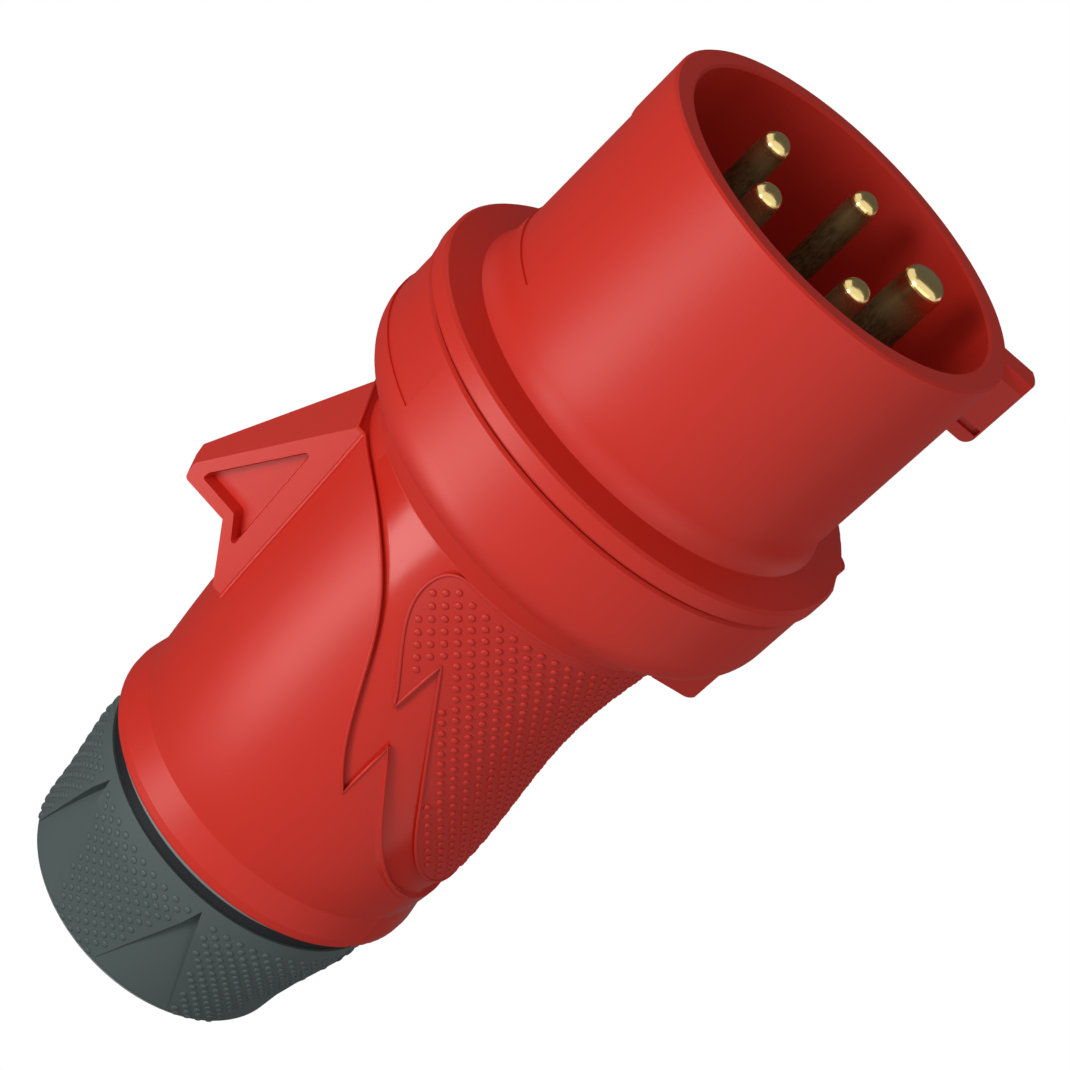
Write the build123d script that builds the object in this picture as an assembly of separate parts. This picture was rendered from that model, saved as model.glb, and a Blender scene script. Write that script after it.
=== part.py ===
"""Industrial five-pole pin and sleeve plug, standing on its gland nut with the sleeve opening upwards.

Frame: +Z runs along the cable gland axis from the nut's end (z = 0) to the sleeve's rim, +X points
to the key, and the finger fin is on -X. The sleeve's axis is parallel to Z, cable_offset behind it.
"""
import os
from math import cos, radians, sin

from build123d import *

# Overall stations along Z
total_length = 172.0
nut_length = 28.2
seal_room = 3.8
sleeve_length = 41.8
flange_thickness = 3.6
parting_gap = 0.5
collar_length = 22.4
spigot_length = 15.0
cable_offset = 3.3

# Main radii, each outwards or inwards of the one before
sleeve_radius = 32.0
sleeve_wall = 3.5
flange_reach = 7.1
collar_inset = 0.5
spigot_inset = 4.6
grip_inset = 8.4
grip_bottom_inset = 0.9
grip_middle_inset = 0.2
grip_waist_inset = 1.1
ring_flare = 1.1
nut_inset = 2.0
thread_inset = 6.4
neck_wall = 3.5

# Sleeve, flange and key
rim_edge_radius = 0.4
flange_rise = 1.0
flange_edge_radius = 0.5
cove_reach = 1.2
cove_height = 3.8
key_flank_height = 4.3
key_height = 5.6
key_width = 8.0
key_length = 13.0
key_corner_radius = 1.2
key_bevel = 1.6
key_slot_width = 1.2
key_slot_depth = 1.0
key_slot_from_end = 2.6
flange_lug_height = 0.8
flange_lug_round = 3.2
scallop_radius = 9.0
scallop_depth = 0.6
scallop_angle = 8.5
land_depth = 0.35
land_half_angle = 26.0
land_top_drop = 10.3
land_length = 23.4
spigot_wall = 3.4
lug_count = 3
first_lug_angle = 60.0
lug_height = 1.5
lug_length = 3.0
lug_width = 10.0

# Contact carrier and contacts
pin_circle_share = 0.535
pole_count = 5
pin_radius = 2.4
earth_radius = 3.5
pin_recess = 0.2
earth_lead = 1.8
earth_dome = 2.2
pin_round_share = 0.999
pin_depth = 40.0
pin_root_step = 0.3
pin_clearance = 0.05
carrier_thickness = 9.0
carrier_clearance = 0.1
carrier_recess = 0.8
carrier_boss_rise = 1.6
carrier_boss_wall = 1.6
ledge_width = 4.0
block_inset = 5.3
block_length = 15.0
terminal_radius = 4.4
terminal_length = 14.0
terminal_clearance = 0.15
wire_bore_radius = 2.6
wire_bore_depth = 11.0
guard_thickness = 1.6
guard_wire_radius = 3.4
guard_screw_length = 9.0
guard_screw_gap = 0.5
screw_radius = 1.75
screw_length = 5.2
screw_reach_in = 1.2
screw_slot_width = 0.7
screw_slot_depth = 0.8
carrier_screw_radius = 1.5
carrier_screw_length = 10.0
carrier_screw_head_radius = 2.2
carrier_screw_head_height = 1.6
carrier_screw_edge = 0.7
screw_fit = 0.02
front_seal_inset = 0.9
front_seal_clearance = 0.3

# Handle housing
collar_edge_chamfer = 0.5
shoulder_height = 12.3
shoulder_reach = 6.5
shoulder_drop = 7.5
shoulder_turn = 80.0
shoulder_foot = 0.1
lug_turn = 35.0
lug_rise = 2.0
housing_wall = 2.2
spigot_clearance = 0.4
panel_depth = 0.3
panel_drop = 1.4
panel_half_angle = 37.0
panel_height = 8.6
band_depth = 0.8
ring_height = 7.5
ring_lip_height = 2.2
ring_overlap = 1.0
ring_edge_radius = 0.9
heel_share = 0.251
middle_share = 0.418
waist_share = 0.717
seam_overlap = 0.7
heel_shift = 0.12
middle_shift = 0.5
waist_shift = 1.06

# Finger fin, as heights over the grip and drops below the collar
fin_tip_width = 6.0
fin_flare = 0.34
fin_depth = 5.0
fin_tip_height = 13.4
fin_tip_drop = 29.2
fin_heel_height = 13.0
fin_heel_drop = 32.2
fin_notch_height = 4.8
fin_notch_drop = 32.2
fin_foot_height = -1.0
fin_foot_drop = 41.6
fin_crest_height = 0.0
fin_crest_drop = 3.6
fin_corner_radius = 0.8
pocket_depth = 2.2
pocket_slope = 14.0
pocket_corner_radius = 0.5
pocket_top = (2.2, 12.1)
pocket_tip = (10.9, 28.4)
pocket_heel = (11.1, 29.9)
pocket_notch = (4.2, 30.0)
pocket_foot = (0.9, 35.0)

# Grip pad
pad_depth = 2.0
pad_drop = 0.2
pad_gap = 0.2
pad_corner_share = 0.02
grip_margin = 3.0

# Lock slide behind the collar
slide_half_width = 4.0
slide_clearance = 0.35
slide_drop = 6.5
slide_slope = 1.2
slide_rise = 7.2
slide_inner_gap = 0.8
slide_bar_width = 6.0
slide_bar_thickness = 2.2
slide_bar_rise = 7.0
slide_nose_depth = 1.4
slide_travel = 3.0
slide_face_inset = 0.2
slide_corner_radius = 2.0

# Cable gland
seal_ring_inset = 0.4
seal_ring_gap = 0.1
seal_ring_round = 1.8
thread_clearance = 0.3
neck_rise = 5.4
neck_web_drop = 0.4
neck_web_height = 3.0
cable_radius = 9.5
cable_room = 1.0
bush_clearance = 0.15
bush_bore_radius = 8.6
bush_chamfer = 1.0
collet_height = 6.0
collet_slot_count = 8
collet_slot_width = 1.6
collet_slot_depth = 4.5
stack_gap = 0.1
thrust_flange_height = 4.4
thrust_nose_height = 4.0
thrust_clearance = 0.4
nut_floor = 4.0
nut_shoulder_inset = 0.1
nut_waist_inset = 2.1
nut_end_inset = 3.2
nut_waist_share = 0.355
nut_shoulder_share = 0.78
nut_end_fillet = 4.0
nut_tip_drop = 1.9
nut_tip_depth = 1.5
nut_facet_count = 3
nut_tip_half_angle = 26.7
nut_field_half_angle = 12.5
nut_wedge_half_angle = 9.0
nut_phase = -120.0

# Derived radii
flange_radius = sleeve_radius + flange_reach
collar_radius = flange_radius - collar_inset
spigot_radius = collar_radius - spigot_inset
sleeve_bore_radius = sleeve_radius - sleeve_wall
pin_circle_radius = pin_circle_share * sleeve_bore_radius
block_radius = sleeve_bore_radius - block_inset
body_top_radius = collar_radius - grip_inset
body_waist_radius = body_top_radius - grip_waist_inset
body_middle_radius = body_top_radius - grip_middle_inset
body_bottom_radius = body_top_radius - grip_bottom_inset
ring_radius = body_bottom_radius + ring_flare
nut_mouth_radius = ring_radius - nut_inset
nut_shoulder_radius = nut_mouth_radius - nut_shoulder_inset
nut_waist_radius = nut_mouth_radius - nut_waist_inset
nut_end_radius = nut_mouth_radius - nut_end_inset
seal_ring_radius = nut_mouth_radius - seal_ring_inset
thread_radius = nut_mouth_radius - thread_inset
neck_bore_radius = thread_radius - neck_wall

# Derived stations
flange_front_z = total_length - sleeve_length
flange_rear_z = flange_front_z - flange_thickness
collar_front_z = flange_rear_z - parting_gap
collar_rear_z = collar_front_z - collar_length
housing_rear_z = nut_length + seal_room
grip_length = collar_rear_z - housing_rear_z
carrier_front_z = total_length - pin_depth
carrier_rear_z = carrier_front_z - carrier_thickness
boss_top_z = carrier_front_z + carrier_boss_rise
ledge_rear_z = carrier_rear_z - ledge_width
spigot_rear_z = flange_rear_z - spigot_length
sleeve_x = -cable_offset
block_rear_z = carrier_rear_z - block_length
nut_waist_z = nut_waist_share * nut_length
nut_shoulder_z = nut_shoulder_share * nut_length
nut_tip_z = nut_length - nut_tip_drop
thrust_low_z = nut_floor + stack_gap
thrust_top_z = thrust_low_z + thrust_flange_height + thrust_nose_height
collet_low_z = thrust_top_z + stack_gap
bush_low_z = collet_low_z + collet_height
neck_bottom_z = nut_floor + neck_rise
neck_web_z = housing_rear_z - neck_web_drop
chamber_low_z = neck_web_z + neck_web_height
slide_low_z = collar_rear_z - slide_drop
slide_top_z = collar_rear_z + slide_rise
slide_inner_x = body_top_radius + slide_inner_gap
slide_bar_x = spigot_radius + spigot_clearance + slide_clearance


def at_sleeve(z=0.0):
    """A place on the sleeve's axis."""
    return Location((sleeve_x, 0, z))


def ring(outer, inner, low, high):
    """A plain ring between two heights, on the Z axis."""
    body = Pos(0, 0, low) * Cylinder(outer, high - low, align=(Align.CENTER, Align.CENTER, Align.MIN))
    if inner > 0:
        bore = Pos(0, 0, low) * Cylinder(inner, high - low, align=(Align.CENTER, Align.CENTER, Align.MIN))
        body -= bore
    return body


def turned(points):
    """A closed profile of (radius, z) points turned about the Z axis."""
    outline = Polyline(*[(r, 0, z) for r, z in points], close=True)
    return revolve(make_face(outline), Axis.Z)


def slab(outline_points, half_width):
    """A closed side outline of (x, z) points, made solid to both sides of the XZ plane."""
    outline = Polyline(*[(x, 0, z) for x, z in outline_points], close=True)
    return extrude(make_face(outline), half_width, dir=(0, 1, 0), both=True)


def sector(radius, half_angle, low, high, centre_angle=0.0):
    """A wedge of a cylinder about the Z axis."""
    a = radians(half_angle)
    tip = (radius * cos(a), radius * sin(a))
    arc = ThreePointArc((tip[0], -tip[1]), (radius, 0), tip)
    sides = Polyline(tip, (0, 0), (tip[0], -tip[1]))
    face = make_face(arc + sides)
    return Rot(0, 0, centre_angle) * Pos(0, 0, low) * extrude(face, high - low)


def pole_angle(index):
    """Angle of a contact from +X; the earth contact stands on the key's side."""
    return 360.0 / pole_count * index


def pole_place(index):
    """Place on the pin circle, turned so that local +X points outwards."""
    return at_sleeve() * Rot(0, 0, pole_angle(index)) * Pos(pin_circle_radius, 0, 0)


def pole_radius(index):
    """The earth contact is the thick one."""
    return earth_radius if index == 0 else pin_radius


# Sleeve moulding

def sleeve_profile():
    """Half section of the sleeve, its conical flange face, the cove between them and the spigot."""
    rim = Polyline(
        (spigot_radius - spigot_wall, 0, spigot_rear_z),
        (spigot_radius, 0, spigot_rear_z),
        (spigot_radius, 0, flange_rear_z),
        (flange_radius - flange_edge_radius, 0, flange_rear_z),
        (flange_radius, 0, flange_rear_z + flange_edge_radius),
        (flange_radius, 0, flange_front_z - flange_edge_radius),
        (flange_radius - flange_edge_radius, 0, flange_front_z),
        (sleeve_radius + cove_reach, 0, flange_front_z + flange_rise),
    )
    cove_start = (sleeve_radius + cove_reach, 0, flange_front_z + flange_rise)
    cove_end = (sleeve_radius, 0, flange_front_z + flange_rise + cove_height)
    cove = TangentArc(cove_end, cove_start, tangent=(0, 0, -1))
    bore = Polyline(
        cove_end,
        (sleeve_radius, 0, total_length - rim_edge_radius),
        (sleeve_radius - rim_edge_radius, 0, total_length),
        (sleeve_bore_radius + rim_edge_radius, 0, total_length),
        (sleeve_bore_radius, 0, total_length - rim_edge_radius),
        (sleeve_bore_radius, 0, carrier_rear_z),
        (block_radius + carrier_clearance, 0, carrier_rear_z),
        (block_radius + carrier_clearance, 0, ledge_rear_z),
        (spigot_radius - spigot_wall, 0, ledge_rear_z),
        (spigot_radius - spigot_wall, 0, spigot_rear_z),
    )
    return make_face(rim + cove + bore)


def key_lug():
    """The key beside the rim: an arched block with bevelled front corners and a slot in each flank."""
    low = total_length - key_length
    flank = sleeve_radius + key_flank_height
    half = key_width / 2
    crown = ThreePointArc((flank, -half), (sleeve_radius + key_height, 0), (flank, half))
    sides = Polyline((flank, half), (0, half), (0, -half), (flank, -half))
    block = Pos(0, 0, low) * extrude(make_face(crown + sides), key_length)
    front = block.edges().filter_by(Axis.X).group_by(Axis.Z)[-1]
    block = chamfer(front, key_bevel)
    rear = block.edges().group_by(Axis.Z)[0].sort_by(Axis.X)[-1]
    block = fillet(rear, key_corner_radius)
    slot_z = low + key_slot_from_end
    for side in (-1, 1):
        slot = Pos(0, side * half, slot_z) * Box(
            flank, 2 * key_slot_depth, key_slot_width, align=(Align.MIN, Align.CENTER, Align.CENTER)
        )
        block -= slot
    keep_out = ring(sleeve_radius - sleeve_wall / 2, 0, low - 1, total_length + 1)
    return block - keep_out


def flange_lug():
    """Rounded mark on the flange's edge, in line with the key."""
    peak = flange_radius + flange_lug_height - flange_lug_round
    low = flange_rear_z + flange_edge_radius
    block = Pos(peak, 0, 0) * ring(flange_lug_round, 0, low, flange_front_z - flange_edge_radius)
    return block - ring(spigot_radius, 0, flange_rear_z, flange_front_z)


def flange_scallops():
    """A shallow hollow in the flange's edge to each side of the mark."""
    hollows = []
    for side in (-1, 1):
        centre = Rot(0, 0, side * scallop_angle) * Pos(flange_radius - scallop_depth + scallop_radius, 0, 0)
        hollows.append(centre * ring(scallop_radius, 0, flange_rear_z, flange_front_z + flange_rise))
    return hollows


def sleeve_land():
    """Shallow sunk land on the fin's side of the sleeve."""
    high = total_length - land_top_drop
    low = high - land_length
    shell = ring(sleeve_radius + 1, sleeve_radius - land_depth, low, high)
    return shell & sector(2 * sleeve_radius, land_half_angle, low, high, 180)


def bayonet_lugs():
    """Lugs on the spigot that lie behind the collar's inner lip."""
    lugs = []
    for angle in lug_angles():
        arm = Rot(0, 0, angle) * Pos(0, 0, spigot_rear_z + lug_rise) * Box(
            spigot_radius + lug_height, lug_width, lug_length, align=(Align.MIN, Align.CENTER, Align.MIN)
        )
        lugs.append(arm - ring(spigot_radius - 1.0, 0, spigot_rear_z, flange_rear_z))
    return lugs


def make_sleeve():
    body = revolve(sleeve_profile(), Axis.Z)
    body += key_lug()
    for hollow in flange_scallops():
        body -= hollow
    body += flange_lug()
    for lug in bayonet_lugs():
        body += lug
    body -= sleeve_land()
    notch_height = slide_top_z + slide_bar_rise + slide_clearance - spigot_rear_z
    body -= Pos(spigot_radius, 0, spigot_rear_z) * Box(
        2 * (slide_nose_depth + slide_clearance),
        slide_bar_width + 2 * slide_clearance,
        2 * notch_height,
    )
    body = at_sleeve() * body
    for place in carrier_screw_places():
        body -= place * ring(carrier_screw_radius, 0, carrier_screw_low_z(), carrier_front_z)
    return body


# Contact carrier, contacts and their fasteners

def carrier_screw_places():
    """The two screws stand between contacts, on opposite sides."""
    half_pitch = 180.0 / pole_count
    reach = sleeve_bore_radius - carrier_screw_head_radius - carrier_screw_edge
    angles = [pole_angle(1) + half_pitch, pole_angle(4) - half_pitch]
    return [at_sleeve() * Rot(0, 0, angle) * Pos(reach, 0, 0) for angle in angles]


def carrier_screw_low_z():
    """Height of the screws' points, inside the sleeve's ledge."""
    return carrier_front_z - carrier_recess - carrier_screw_length


def make_carrier():
    """Disc that carries the contacts, with a guard boss round each pin and a terminal block behind."""
    disc = ring(sleeve_bore_radius - carrier_clearance, 0, carrier_rear_z, carrier_front_z - carrier_recess)
    block = ring(block_radius, 0, carrier_rear_z - block_length, carrier_rear_z)
    body = at_sleeve() * (disc + block)
    for i in range(pole_count):
        r = pole_radius(i) + carrier_boss_wall
        body += pole_place(i) * ring(r, 0, carrier_rear_z, boss_top_z)
    for i in range(pole_count):
        r = pole_radius(i) + pin_root_step + pin_clearance
        body -= pole_place(i) * ring(r, 0, block_rear_z, total_length)
        body -= pole_place(i) * ring(terminal_radius + terminal_clearance, 0, block_rear_z, carrier_rear_z)
        window = Pos(0, 0, carrier_rear_z - terminal_length / 2) * Rot(0, 90, 0) * Cylinder(
            screw_radius + terminal_clearance, block_radius, align=(Align.CENTER, Align.CENTER, Align.MIN)
        )
        body -= pole_place(i) * window
    for place in carrier_screw_places():
        head_low = carrier_front_z - carrier_recess - carrier_screw_head_height
        body -= place * ring(carrier_screw_radius, 0, carrier_screw_low_z(), carrier_front_z)
        body -= place * ring(carrier_screw_head_radius + carrier_clearance, 0, head_low, carrier_front_z)
    screw_hole = ring(carrier_screw_radius, 0, block_rear_z, block_rear_z + guard_screw_length)
    return body - at_sleeve() * screw_hole


def pin_tip(radius, top, dome):
    """A rounded pin end: a hemisphere, or a flatter dome when dome is less than the radius."""
    blank = ring(radius, 0, top - 2 * dome, top)
    return fillet(blank.edges().sort_by(Axis.Z)[-1], dome * pin_round_share)


def make_contact(index):
    """A turned pin with a thicker root and its terminal barrel, bored for the wire and cross-drilled."""
    r = pole_radius(index)
    dome = earth_dome if index == 0 else pin_radius
    top = total_length + earth_lead if index == 0 else total_length - pin_recess
    body = pin_tip(r, top, dome)
    body += ring(r, 0, carrier_rear_z, top - dome)
    body += ring(r + pin_root_step, 0, carrier_rear_z, boss_top_z)
    low = carrier_rear_z - terminal_length
    body += ring(terminal_radius, 0, low, carrier_rear_z)
    body -= ring(wire_bore_radius, 0, low, low + wire_bore_depth)
    cross = Pos(0, 0, low + terminal_length / 2) * Rot(0, 90, 0) * Cylinder(
        screw_radius, 2 * terminal_radius, align=(Align.CENTER, Align.CENTER, Align.MIN)
    )
    body -= cross
    return pole_place(index) * body


def make_terminal_screws():
    """Slotted screws that clamp the wires, one to each terminal barrel."""
    screws = []
    for i in range(pole_count):
        mid_z = carrier_rear_z - terminal_length / 2
        body = ring(screw_radius - screw_fit, 0, 0, screw_length)
        slot = Pos(0, 0, screw_length) * Box(3 * screw_radius, screw_slot_width, 2 * screw_slot_depth)
        body = body - slot
        place = pole_place(i) * Pos(wire_bore_radius - screw_reach_in, 0, mid_z) * Rot(0, 90, 0)
        screws.append(place * body)
    return screws


def make_carrier_screws():
    """Two slotted screws that hold the carrier on the sleeve's inner ledge."""
    top = carrier_front_z - carrier_recess
    screws = []
    for place in carrier_screw_places():
        screws.append(place * slotted_screw(carrier_screw_length, top))
    return screws


def slotted_screw(length, top):
    """A cheese-head screw that points down from its head's top."""
    body = ring(carrier_screw_radius - screw_fit, 0, top - length, top - carrier_screw_head_height / 2)
    body += ring(carrier_screw_head_radius, 0, top - carrier_screw_head_height, top)
    return body - Pos(0, 0, top) * Box(3 * carrier_screw_head_radius, screw_slot_width, 2 * screw_slot_depth)


def make_terminal_guard():
    """Thin plate behind the terminals, with a round hole for each wire."""
    low = block_rear_z - guard_thickness
    body = ring(block_radius, 0, low, block_rear_z)
    body -= ring(carrier_screw_radius, 0, low, block_rear_z)
    body = at_sleeve() * body
    for i in range(pole_count):
        body -= pole_place(i) * ring(guard_wire_radius, 0, low, block_rear_z)
    return body


def make_guard_screw():
    """The screw in the middle of the terminal guard, with its head to the rear."""
    top = guard_thickness + carrier_screw_head_height
    body = slotted_screw(guard_screw_length + top - guard_screw_gap, top)
    return at_sleeve(block_rear_z) * Rot(180, 0, 0) * body


def make_front_seal():
    """Flat gasket in the gap between flange and collar."""
    outer = collar_radius - front_seal_inset
    return at_sleeve() * ring(outer, spigot_radius + front_seal_clearance, collar_front_z, flange_rear_z)


# Handle housing

def grip_z(share):
    """Height of a place on the grip, from its rear (0) to the collar (1)."""
    return housing_rear_z + share * grip_length


def body_sections(offset):
    """Round sections of the hand grip as (z, x, radius), shifting from the sleeve's axis to the gland's."""
    return [
        (housing_rear_z + ring_height - ring_overlap, 0.0, body_bottom_radius + offset),
        (grip_z(heel_share), heel_shift * sleeve_x, body_top_radius + offset),
        (grip_z(middle_share), middle_shift * sleeve_x, body_middle_radius + offset),
        (grip_z(waist_share), waist_shift * sleeve_x, body_waist_radius + offset),
        (collar_rear_z + seam_overlap, sleeve_x, body_top_radius + offset),
        (spigot_rear_z, sleeve_x, body_top_radius + offset),
    ]


def body_loft(offset):
    """The hand grip's outer form, grown or shrunk by offset."""
    faces = []
    for z, x, radius in body_sections(offset):
        faces.append(Pos(x, 0, z) * Circle(radius))
    return loft(faces)


def side_points(*shares):
    """Places in the side view from shares of the grip's radius and of its length."""
    return [(across * body_top_radius, 0, grip_z(along)) for across, along in shares]


def side_face(upper, lower, top):
    """Side view of all that lies to the key's side of two curves joined by a zigzag."""
    zig = Line(upper @ 1, lower @ 0)
    edge = 2 * collar_radius
    low_end = lower @ 1
    high_start = upper @ 0
    far = Polyline(
        low_end, (edge, 0, low_end.Z), (edge, 0, top), (high_start.X, 0, top), high_start
    )
    return make_face(upper + zig + lower + far)


def shell_line():
    """Side view of the step between the shell and the lower band: a long S with one zigzag."""
    upper = Spline(*side_points(
        (-1.06, 0.943), (-0.944, 0.947), (-0.868, 0.943), (-0.778, 0.929), (-0.662, 0.897),
        (-0.503, 0.834), (-0.242, 0.644), (0.089, 0.414),
    ))
    lower = Spline(*side_points(
        (0.083, 0.566), (0.334, 0.413), (0.579, 0.285), (0.917, 0.183), (1.325, 0.146),
    ))
    return side_face(upper, lower, grip_z(1.1))


def pad_line():
    """Side view of the grip pad's edge, which repeats the band's zigzag."""
    top = collar_rear_z - pad_gap
    start = (top - housing_rear_z) / grip_length
    upper = Spline(*side_points(
        (-0.199, start), (-0.325, start - pad_corner_share), (-0.364, 0.923), (-0.199, 0.753),
        (-0.043, 0.650),
    ))
    lower = Spline(*side_points(
        (-0.033, 0.802), (0.106, 0.709), (0.450, 0.476), (0.858, 0.262), (1.325, 0.209),
    ))
    edge = 2 * collar_radius
    low_end = lower @ 1
    far = Polyline(low_end, (edge, 0, low_end.Z), (edge, 0, top), upper @ 0)
    return make_face(upper + Line(upper @ 1, lower @ 0) + lower + far)


def side_region(face):
    """A side outline in the sleeve's frame, carried through the whole width."""
    return Pos(sleeve_x, 0, 0) * extrude(face, 2 * collar_radius, dir=(0, 1, 0), both=True)


def make_collar():
    """Round collar with an oval rear shoulder that closes on the hand grip."""
    bore = spigot_radius + spigot_clearance
    inner = body_top_radius - housing_wall - pad_depth
    shoulder = EllipticalCenterArc(
        (collar_radius - shoulder_reach, collar_rear_z + shoulder_height), shoulder_reach, shoulder_drop,
        start_angle=-shoulder_turn, arc_size=shoulder_turn,
    )
    sides = Polyline(
        shoulder @ 1,
        (collar_radius, collar_front_z - collar_edge_chamfer),
        (collar_radius - collar_edge_chamfer, collar_front_z),
        (bore, collar_front_z),
        (bore, spigot_rear_z - spigot_clearance),
        (inner, spigot_rear_z - spigot_clearance),
        (inner, collar_rear_z),
        (body_top_radius - shoulder_foot, collar_rear_z),
        shoulder @ 0,
    )
    return revolve(Plane.XZ * make_face(shoulder + sides), Axis.Z)


def bayonet_groove():
    """Ring groove in the collar's bore with an entry slot for each lug."""
    low = spigot_rear_z + lug_rise - spigot_clearance
    high = low + lug_length + 2 * spigot_clearance
    outer = spigot_radius + lug_height + spigot_clearance
    cut = ring(outer, spigot_radius - 1.0, low, high)
    for angle in lug_angles():
        slot = Pos(0, 0, low) * Box(
            outer, lug_width + 2 * spigot_clearance, collar_front_z - low,
            align=(Align.MIN, Align.CENTER, Align.MIN),
        )
        slot = slot & ring(outer, spigot_radius - 1.0, low, collar_front_z)
        cut += Rot(0, 0, angle + lug_turn) * slot
    return cut


def lug_angles():
    """Angles of the spigot's lugs when the plug is closed."""
    return [first_lug_angle + 360.0 / lug_count * i for i in range(lug_count)]


def collar_panel():
    """Shallow panel on the collar over the fin."""
    high = collar_front_z - panel_drop
    shell = ring(collar_radius + 1, collar_radius - panel_depth, high - panel_height, high)
    return shell & sector(2 * collar_radius, panel_half_angle, high - panel_height, high, 180)


def fin_place(height, drop):
    """A place on the fin, from its height over the grip and its drop below the collar."""
    return (-body_top_radius - height, collar_rear_z - drop)


def fin_outline():
    """Side view of the finger fin: a straight crest, a blunt tip, a notch and a foot."""
    crest = fin_place(fin_crest_height, fin_crest_drop)
    tip = fin_place(fin_tip_height, fin_tip_drop)
    foot = fin_place(fin_foot_height, fin_foot_drop)
    climb = (crest[1] - tip[1]) / (crest[0] - tip[0])
    return [
        (crest[0] + fin_depth, crest[1] + climb * fin_foot_rise()),
        (crest[0] + fin_foot_rise(), crest[1] + climb * fin_foot_rise()),
        tip,
        fin_place(fin_heel_height, fin_heel_drop),
        fin_place(fin_notch_height, fin_notch_drop),
        foot,
        (foot[0] + fin_depth, foot[1]),
    ]


def fin_foot_rise():
    """How far the crest runs on inside the grip."""
    return band_depth + fin_crest_height


def fin_wedge():
    """Plan of the fin, thin at the tip and thick at the root, as a prism."""
    tip = -body_top_radius - fin_tip_height
    reach = fin_tip_height + fin_depth
    half = fin_tip_width / 2
    root = half + fin_flare * reach
    plan = Polyline((tip, -half), (tip + reach, -root), (tip + reach, root), (tip, half), close=True)
    return Pos(0, 0, collar_rear_z - 2 * fin_foot_drop) * extrude(make_face(plan), 3 * fin_foot_drop)


def fin_pocket():
    """A pocket with sloping walls, drawn on the fin's near side face and sunk square to it."""
    side = Plane(
        origin=(-body_top_radius - fin_tip_height, -fin_tip_width / 2, 0),
        x_dir=(1, -fin_flare, 0),
        z_dir=(-fin_flare, -1, 0),
    )
    stretch = (1 + fin_flare ** 2) ** 0.5
    corners = []
    for height, drop in (pocket_top, pocket_tip, pocket_heel, pocket_notch, pocket_foot):
        corners.append(((fin_tip_height - height) * stretch, collar_rear_z - drop))
    rim = make_face(Polyline(*corners, close=True))
    rim = fillet(rim.vertices(), pocket_corner_radius)
    return side * extrude(rim, -pocket_depth, taper=pocket_slope)


def make_fin():
    """Finger fin opposite the key: a wedge of a plate with a pocket sunk into each side."""
    plate = slab(fin_outline(), 2 * fin_tip_width) & fin_wedge()
    corners = plate.edges().filter_by(Axis.Y).sort_by(Axis.X)[:2]
    plate = fillet(corners, fin_corner_radius)
    pocket = fin_pocket()
    return at_sleeve() * (plate - pocket - mirror(pocket, Plane.XZ))


def make_heel_ring():
    """Ring at the housing's rear, round the gland's axis, with a conical flare up to the grip."""
    body = turned([
        (thread_radius, housing_rear_z),
        (ring_radius, housing_rear_z),
        (ring_radius, housing_rear_z + ring_lip_height),
        (body_bottom_radius, housing_rear_z + ring_height),
        (thread_radius, housing_rear_z + ring_height),
    ])
    outer_edge = body.edges().filter_by(GeomType.CIRCLE).group_by(Axis.Z)[0].sort_by(SortBy.LENGTH)[-1]
    return fillet(outer_edge, ring_edge_radius)


def housing_chamber():
    """The wiring chamber, the collar's bore and the gland neck's bore."""
    wall = pad_depth + housing_wall
    room = body_loft(-wall)
    room += ring(body_bottom_radius - wall, 0, chamber_low_z, housing_rear_z + ring_height)
    room += at_sleeve() * ring(body_top_radius - wall, 0, spigot_rear_z - 1.0, collar_front_z)
    room += at_sleeve() * ring(
        spigot_radius + spigot_clearance, 0, spigot_rear_z - spigot_clearance, collar_front_z
    )
    room += at_sleeve() * bayonet_groove()
    room += ring(neck_bore_radius, 0, neck_bottom_z, neck_web_z)
    return room + ring(cable_radius + cable_room, 0, neck_web_z, chamber_low_z)


def slide_bar(grow):
    """The slide's bar inside the collar, with the nose at its end that locks the spigot."""
    low = slide_top_z - (slide_travel if grow > 0 else 0.0)
    high = slide_top_z + slide_bar_rise + grow
    width = slide_bar_width + 2 * grow
    outer = slide_bar_x + slide_bar_thickness + grow
    inner = spigot_radius - slide_nose_depth - grow
    bar = Box(outer - inner, width, high - low, align=(Align.MIN, Align.CENTER, Align.MIN))
    return Pos(inner, 0, low) * bar


def slide_room():
    """Space of the lock slide in the housing, with its clearance and its travel."""
    low = slide_low_z - slide_slope - 2 * slide_travel
    inner = slide_inner_x - slide_clearance
    block = Pos(inner, 0, low) * Box(
        collar_radius, 2 * (slide_half_width + slide_clearance), slide_top_z + slide_clearance - low,
        align=(Align.MIN, Align.CENTER, Align.MIN),
    )
    return block + slide_bar(slide_clearance)


def make_lock_slide():
    """Lock slide: a block behind the collar with a rounded lower corner and a face that follows it."""
    outer = collar_radius - slide_face_inset
    block = slab([
        (slide_inner_x, slide_low_z - slide_slope),
        (outer, slide_low_z),
        (outer, slide_top_z),
        (slide_inner_x, slide_top_z),
    ], slide_half_width)
    corner = block.edges().filter_by(Axis.Y).group_by(Axis.X)[-1].sort_by(Axis.Z)[0]
    block = fillet(corner, slide_corner_radius)
    block = block & ring(outer, 0, slide_low_z - slide_slope, slide_top_z)
    return at_sleeve() * (block + slide_bar(0))


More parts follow.
